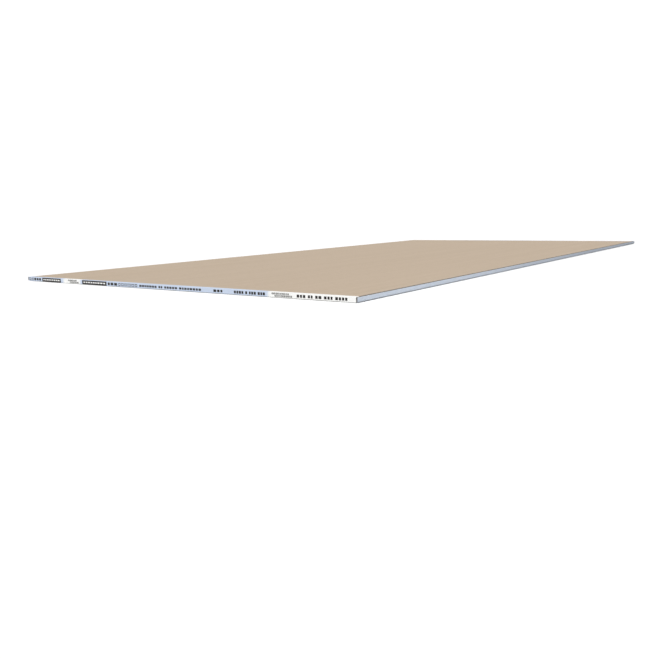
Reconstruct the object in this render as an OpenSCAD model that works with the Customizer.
// Drywall sheet: a gypsum board with tapered long edges, lying on its face paper, back paper up,
// with a strip of paper bundling tape folded over each cut end.
// Millimetres. X runs across the sheet, Y along it and Z up. The origin is on the floor,
// under the middle of the sheet.

/* [Sheet] */
// Width of the sheet, 4 ft
sheet_w = 1219.2; // [600:0.1:1400]
// Length of the sheet, 8 ft
sheet_l = 2438.4; // [1200:0.1:4300]
// Thickness between the face paper and the back paper, 1/2 in
sheet_t = 12.7; // [9:0.1:19]

/* [Long edges] */
// Width of the tapered strip along each long edge of the face
taper_w = 57; // [40:1:75]
// Depth that the face has fallen back by at the end of the taper
taper_depth = 1.5; // [0.5:0.1:2.3]
// Radius of the paper's fold where the taper meets the long edge
face_fold_r = 2.4; // [1:0.1:3]
// Radius of the paper's fold where the long edge meets the back
back_fold_r = 1.6; // [0.8:0.1:2.5]

/* [Back] */
// Width of the margin of folded face paper that the back paper leaves bare
bare_w = 6; // [5:1:30]
// Height of the back paper's step where it is glued over the folded face paper
paper_step = 0.3; // [0.2:0.05:0.5]

/* [End tape] */
// Thickness of the tape with its glue
tape_t = 0.3; // [0.15:0.05:0.5]
// Length of the tape's lap on the back: half of what a 2 in tape has beyond two sheets of 1/2 in
tape_lap = 12.7; // [6:0.1:40]
// Distance from the tape's short ends to the long edges
tape_inset = 3.5; // [0:0.5:3.5]
// Height of the tape's lower edge above the face, where the tape was slit
tape_rise = 1; // [0.2:0.1:2]
// Width of the tape's short ends that lies on the bare margin, past its slope from the step
tape_land_w = 1; // [0.5:0.1:1.4]

/* [Hidden] */

half_w = sheet_w / 2;
half_l = sheet_l / 2;
// Level of the bare margin of face paper beside the back paper
lapped_z = sheet_t - paper_step;
// Facets in each quarter turn of a paper fold
fold_steps = 6;

// Points of an arc about a centre, from one angle to another
function arc(centre, r, from, to) =
    [for (i = [0 : fold_steps])
        let (a = from + (to - from) * i / fold_steps)
        centre + r * [cos(a), sin(a)]];

// The same points on the other side of the sheet, in the order that closes the outline
function mirrored(points) = [for (i = [len(points) - 1 : -1 : 0]) [-points[i].x, points[i].y]];

// Right half of the section, from the face round the long edge to the back
right_section = concat(
    [[half_w - taper_w, 0]],
    arc([half_w - face_fold_r, taper_depth + face_fold_r], face_fold_r, -90, 0),
    arc([half_w - back_fold_r, lapped_z - back_fold_r], back_fold_r, 0, 90),
    [[half_w - bare_w, lapped_z], [half_w - bare_w, sheet_t]]
);

// Underside of the tape's lap, from the middle of the sheet to the tape's short end
right_bed = [
    [half_w - bare_w, sheet_t],
    [half_w - tape_inset - tape_land_w, lapped_z],
    [half_w - tape_inset, lapped_z]
];
tape_bed = concat(mirrored(right_bed), right_bed);
tape_top = [for (p = tape_bed) p + [0, tape_t]];

// Extrudes an outline of X and Z backwards along Y from the plane y = at
module along_y(at, length) {
    translate([0, at, 0]) rotate([90, 0, 0]) linear_extrude(length) children();
}

module drywall_sheet() {
    color([0.78, 0.72, 0.64])
        along_y(half_l, sheet_l) polygon(concat(right_section, mirrored(right_section)));
}

// Tape over the end at y = -half_l: a lap on the back and a panel down the cut end
module end_tape() {
    color([0.79, 0.85, 0.94]) {
        along_y(tape_lap - half_l, tape_lap)
            polygon(concat(tape_bed, [for (i = [len(tape_top) - 1 : -1 : 0]) tape_top[i]]));
        along_y(-half_l, tape_t)
            polygon(concat([[-half_w + tape_inset, tape_rise]], tape_top, [[half_w - tape_inset, tape_rise]]));
    }
}

module end_tape_front() { end_tape(); }

module end_tape_rear() { mirror([0, 1, 0]) end_tape(); }

drywall_sheet();
end_tape_front();
end_tape_rear();
